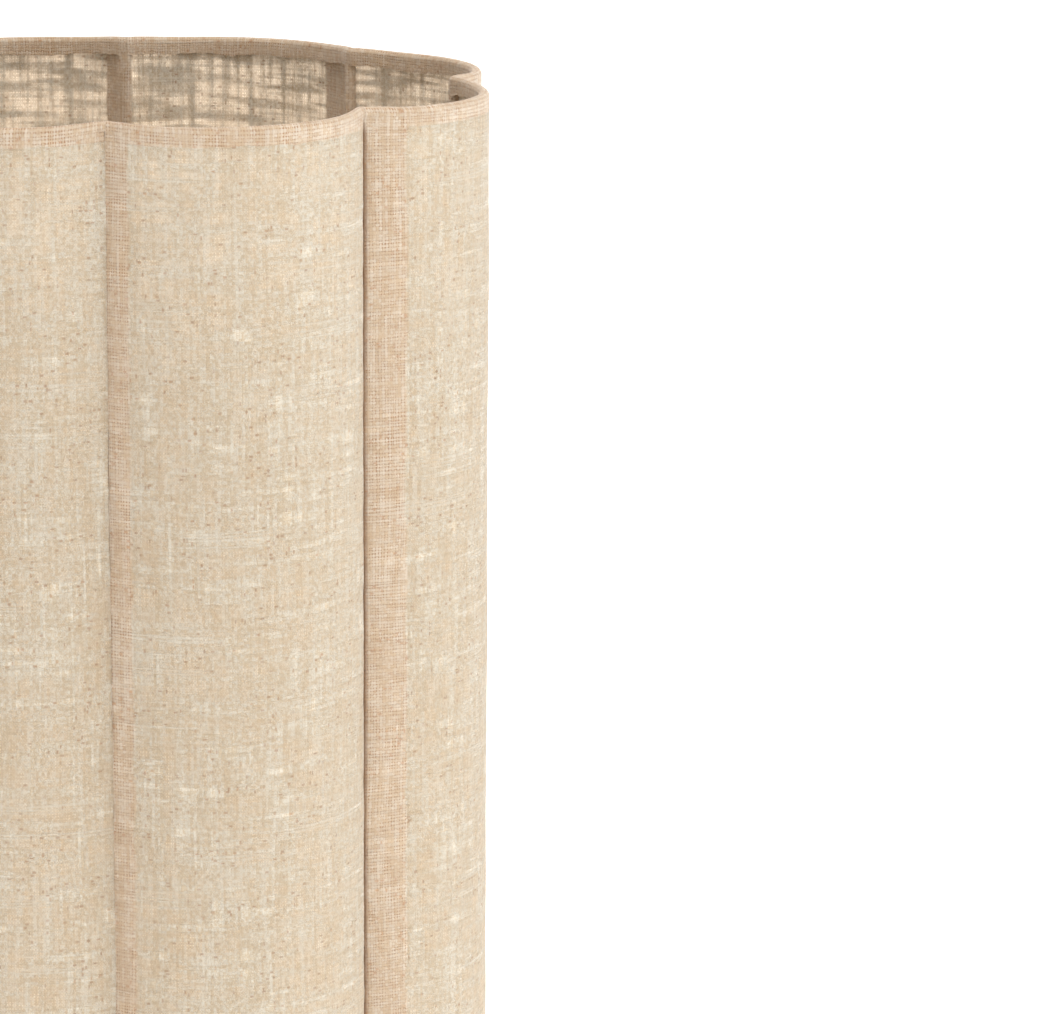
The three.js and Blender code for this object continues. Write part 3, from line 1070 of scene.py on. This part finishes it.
class SHADE_OT_stage(bpy.types.Operator):
    """Makes the floor, the lights and the camera"""

    bl_idname = "lamp_shade.stage"
    bl_label = "Studio"

    def execute(self, context):
        scene = context.scene
        look = scene.stage_look
        scene.view_settings.view_transform = "Standard"
        self.surround(scene, look)
        self.floor(look)
        centre = (0.0, 0.0, HEIGHT * 0.55)
        rim = (0.0, 0.0, HEIGHT)
        cool, warm = (0.89, 0.96, 1.0), (1.0, 0.93, 0.85)
        area_light("key_softbox", (1.35, -0.25, 0.70), centre, (1.2, 1.4), look.key, cool)
        area_light("front_softbox", (0.75, -1.75, 0.75), centre, (1.0, 1.2), look.front, cool)
        area_light("upper_softbox", (0.1, -0.3, 2.2), rim, (1.5, 1.5), look.above, warm)
        area_light("rear_softbox", (-0.1, 1.5, 0.45), centre, (1.8, 1.0), look.rear)
        self.camera(scene)
        return {"FINISHED"}

    def surround(self, scene, look):
        """An even white surround."""
        world = bpy.data.worlds.new("white_room")
        world.use_nodes = True
        background = world.node_tree.nodes["Background"]
        background.inputs["Color"].default_value = (0.98, 0.97, 0.96, 1.0)
        background.inputs["Strength"].default_value = look.room
        scene.world = world

    def floor(self, look):
        """A wide pale floor under the bottom rim, clear when seen from underneath."""
        far = 30.0
        low = CAD_LOW[2] - 0.05 * MM
        points = np.array([(-far, -far, low), (far, -far, low), (far, far, low), (-far, far, low)])
        made = new_mesh("pale_floor", points, np.array([[0, 1, 2, 3]]))
        paper, tree, output = new_material("pale_paper")
        fibre = object_noise(tree, 3.0, 2.0)
        taken = {
            "Base Color": blend_colour(tree, fibre.eased(0.3, 0.7), (0.90,) * 3, (0.93, 0.93, 0.92)),
            "Roughness": 0.9,
            "Specular IOR Level": 0.0,
            "Emission Color": (*WHITE, 1.0),
            "Emission Strength": look.glow,
        }
        lit_paper = add_node(tree, "BsdfPrincipled", taken)
        clear = add_node(tree, "BsdfTransparent", {})
        from_below = add_node(tree, "NewGeometry", {}).outputs["Backfacing"]
        mixed_surface(tree, output, from_below, lit_paper, clear)
        made.data.materials.append(paper)

    def camera(self, scene):
        """A long lens from slightly right of the front cusp, looking down a little."""
        data = bpy.data.cameras.new("long_lens")
        data.sensor_fit = "HORIZONTAL"
        data.sensor_width = 36.0
        data.lens = 161.55
        data.clip_start, data.clip_end = 0.01, 100.0
        yaw, pitch, roll = math.radians(3.10), math.radians(12.33), math.radians(0.34)
        level = Vector((math.sin(yaw), math.cos(yaw), 0.0))
        right = Vector((math.cos(yaw), -math.sin(yaw), 0.0))
        up = Vector((0.0, 0.0, 1.0))
        ahead = level * math.cos(pitch) - up * math.sin(pitch)
        above = level * math.sin(pitch) + up * math.cos(pitch)
        x_axis = right * math.cos(roll) + above * math.sin(roll)
        y_axis = above * math.cos(roll) - right * math.sin(roll)
        turn = Matrix((x_axis, y_axis, -ahead)).transposed().to_4x4()
        rim = HEIGHT - 0.4 * MM
        place = Vector((0.460 * CUSP_RADIUS, -13.902 * CUSP_RADIUS, rim + 1.738 * CUSP_RADIUS))
        made = bpy.data.objects.new("long_lens", data)
        made.matrix_world = Matrix.Translation(place) @ turn
        scene.collection.objects.link(made)
        scene.camera = made


# ---- Panel, registration and the run ----

BUILDERS = (
    SHADE_OT_panels,
    SHADE_OT_hems,
    SHADE_OT_allowances,
    SHADE_OT_wire_frame,
    SHADE_OT_fitter,
    SHADE_OT_reducer,
    SHADE_OT_stage,
)


class SHADE_PT_sidebar(bpy.types.Panel):
    """Lists the sizes, the looks and the buttons that make each group of pieces"""

    bl_idname = "SHADE_PT_sidebar"
    bl_label = "Lamp shade"
    bl_space_type = "VIEW_3D"
    bl_region_type = "UI"
    bl_category = "Lamp shade"

    def draw(self, context):
        for group in (context.scene.shade_sizes, context.scene.linen_look, context.scene.stage_look):
            box = self.layout.box()
            for name in group.__annotations__:
                box.prop(group, name)
        for builder in BUILDERS:
            self.layout.operator(builder.bl_idname)


GROUPS = (("shade_sizes", ShadeSizes), ("linen_look", LinenLook), ("stage_look", StageLook))


def register():
    for _, group in GROUPS:
        bpy.utils.register_class(group)
    for made in (*BUILDERS, SHADE_PT_sidebar):
        bpy.utils.register_class(made)
    for name, group in GROUPS:
        setattr(bpy.types.Scene, name, PointerProperty(type=group))


def unregister():
    for name, _ in GROUPS:
        delattr(bpy.types.Scene, name)
    for made in (SHADE_PT_sidebar, *reversed(BUILDERS)):
        bpy.utils.unregister_class(made)
    for _, group in GROUPS:
        bpy.utils.unregister_class(group)


def main():
    """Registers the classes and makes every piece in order."""
    register()
    for builder in BUILDERS:
        group, name = builder.bl_idname.split(".")
        getattr(getattr(bpy.ops, group), name)()


if __name__ == "__main__":
    main()
